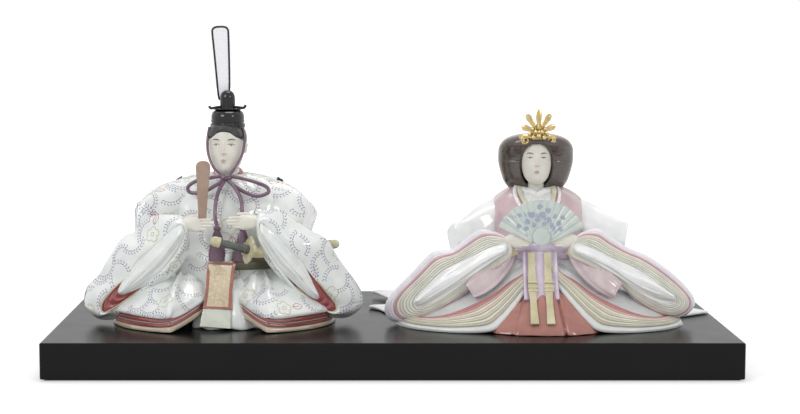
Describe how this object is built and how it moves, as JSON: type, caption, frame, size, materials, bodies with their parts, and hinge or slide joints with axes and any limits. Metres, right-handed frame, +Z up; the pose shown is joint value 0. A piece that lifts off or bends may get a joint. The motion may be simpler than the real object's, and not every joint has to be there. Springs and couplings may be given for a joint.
{
  "type": "hina doll pair",
  "caption": "Seated court couple in glazed porcelain on a black lacquered board: emperor with tall hat, baton and sword, empress with crown and fan, each made to lift off",
  "frame": {"origin": "centre of the underside of the felt under the board", "axes": "+X along the board towards the empress, +Y away from the viewer, behind the dolls, +Z up"},
  "size_m": [0.7, 0.35, 0.3506],
  "materials": {
    "black_lacquer": "gloss",
    "felt": "matte",
    "white_glaze": "gloss",
    "red_glaze": "gloss",
    "cream_glaze": "gloss",
    "black_glaze": "gloss",
    "purple_glaze": "gloss",
    "olive_glaze": "gloss",
    "tan_glaze": "gloss",
    "bisque": "satin",
    "baton_wood": "satin",
    "grip_glaze": "gloss",
    "guard_glaze": "gloss",
    "hair_brown": "gloss",
    "gilded": "satin",
    "mauve_glaze": "gloss",
    "terracotta_glaze": "gloss",
    "lavender_glaze": "gloss",
    "gold_strap": "gloss",
    "fan_glaze": "gloss",
    "gauze": "matte"
  },
  "bodies": {
    "base": {"display_board": "black_lacquer", "felt_sheet": "felt"},
    "emperor": {"emperor_robe": "white_glaze", "emperor_sleeve_right": "white_glaze", "emperor_sleeve_left": "white_glaze", "emperor_sleeve_lining_right": "red_glaze", "emperor_sleeve_lining_left": "red_glaze", "emperor_sleeve_roll_right": "white_glaze", "emperor_sleeve_roll_left": "white_glaze", "emperor_shoulder_right": "white_glaze", "emperor_shoulder_left": "white_glaze", "emperor_collar": "red_glaze", "emperor_belt": "olive_glaze", "emperor_lap_right": "white_glaze", "emperor_lap_left": "white_glaze", "emperor_lap_layers_right": "red_glaze", "emperor_lap_layers_left": "red_glaze", "emperor_under_hakama": "white_glaze", "emperor_head": "bisque", "emperor_hair": "black_glaze", "emperor_hand_right": "bisque", "emperor_hand_left": "bisque", "court_hat": "black_glaze", "hat_cord": "purple_glaze", "tassel_right": "purple_glaze", "tassel_left": "purple_glaze", "sash": "tan_glaze", "scabbard": "cream_glaze"},
    "empress": {"empress_head": "bisque", "empress_hair": "hair_brown", "empress_hand_right": "bisque", "empress_hand_left": "bisque", "empress_jacket": "mauve_glaze", "empress_collar": "white_glaze", "empress_belt": "lavender_glaze", "empress_shoulder_right": "white_glaze", "empress_shoulder_left": "white_glaze", "empress_sleeve_right": "lavender_glaze", "empress_sleeve_left": "lavender_glaze", "empress_sleeve_layers_right": "cream_glaze", "empress_sleeve_layers_left": "cream_glaze", "empress_sleeve_roll_right": "white_glaze", "empress_sleeve_roll_left": "white_glaze", "empress_inner_sleeve_right": "mauve_glaze", "empress_inner_sleeve_left": "mauve_glaze", "empress_skirt": "white_glaze", "empress_skirt_layers_right": "cream_glaze", "empress_skirt_layers_left": "cream_glaze", "empress_hakama": "terracotta_glaze", "empress_train": "white_glaze", "fan": "fan_glaze", "ribbon": "lavender_glaze", "strap_right": "gold_strap", "strap_left": "gold_strap"},
    "baton": {"baton": "baton_wood"},
    "hat_tail": {"hat_tail_frame": "black_glaze", "hat_tail_gauze": "gauze"},
    "sword": {"sword_hilt": "grip_glaze", "sword_guard": "guard_glaze"},
    "crown": {"crown": "gilded"}
  },
  "joints": [
    {"name": "emperor_lift", "type": "slide", "parent": "base", "child": "emperor", "axis": [0, 0, 1], "range_m": [0, 0.06]},
    {"name": "empress_lift", "type": "slide", "parent": "base", "child": "empress", "axis": [0, 0, 1], "range_m": [0, 0.06]},
    {"name": "baton_pull", "type": "slide", "parent": "emperor", "child": "baton", "axis": [0.02, 0, 0.9998], "range_m": [0, 0.02]},
    {"name": "hat_tail_pull", "type": "slide", "parent": "emperor", "child": "hat_tail", "axis": [-0.0499, 0.0399, 0.998], "range_m": [0, 0.02]},
    {"name": "sword_pull", "type": "slide", "parent": "emperor", "child": "sword", "axis": [-0.9365, -0.2215, 0.2719], "range_m": [0, 0.01]},
    {"name": "crown_pull", "type": "slide", "parent": "empress", "child": "crown", "axis": [0, -0.3401, 0.9404], "range_m": [0, 0.012]}
  ]
}
